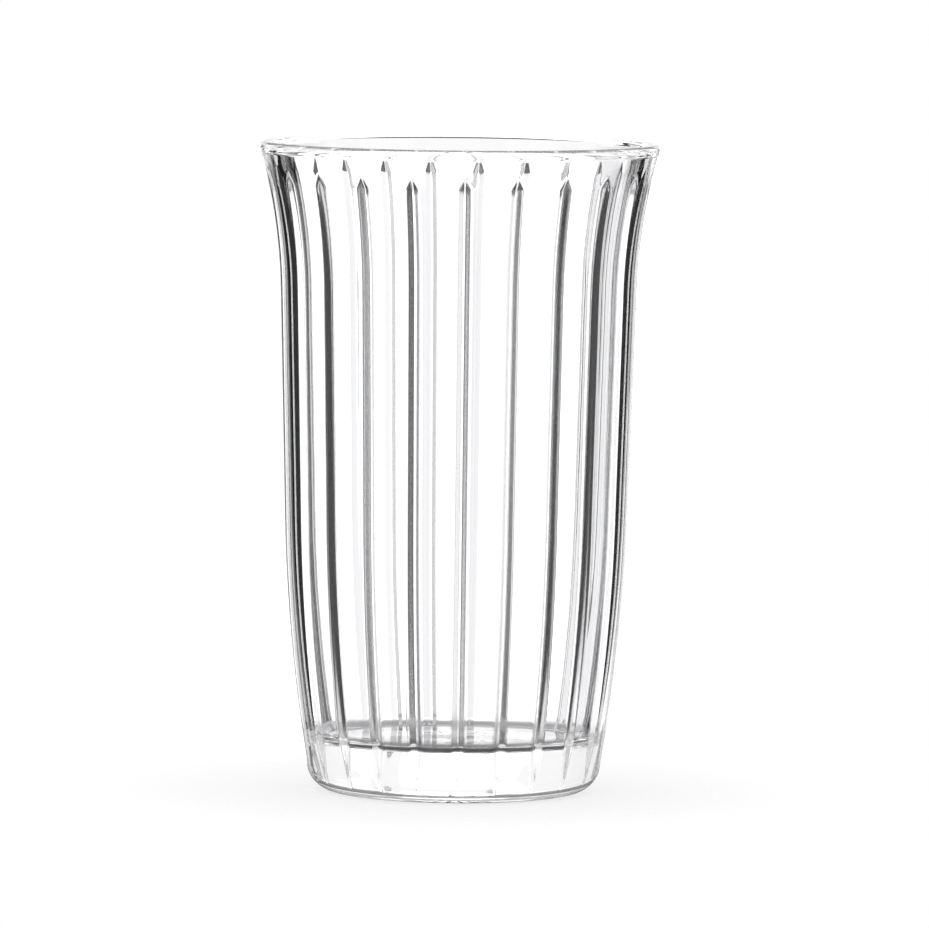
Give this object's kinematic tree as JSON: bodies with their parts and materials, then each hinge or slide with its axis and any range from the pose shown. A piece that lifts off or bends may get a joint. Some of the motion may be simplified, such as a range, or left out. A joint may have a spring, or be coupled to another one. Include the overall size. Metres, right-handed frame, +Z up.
{
  "type": "water glass",
  "caption": "Straight tall glass with a flared rim, heavy solid foot and upright V-shaped flutes round the outside, for serving water and other cold drinks.",
  "frame": {"origin": "on the table, at the middle of the foot, where the glass stands", "axes": "+Z up along the middle of the glass, -Y towards the viewer of the picture, +X to the viewer's right"},
  "size_m": [0.083, 0.083, 0.1346],
  "materials": {
    "glass": "clear colourless pressed soda-lime glass, fire polished, with soft mould edges on the flutes"
  },
  "bodies": {
    "root": {"tumbler": "glass"}
  },
  "joints": []
}
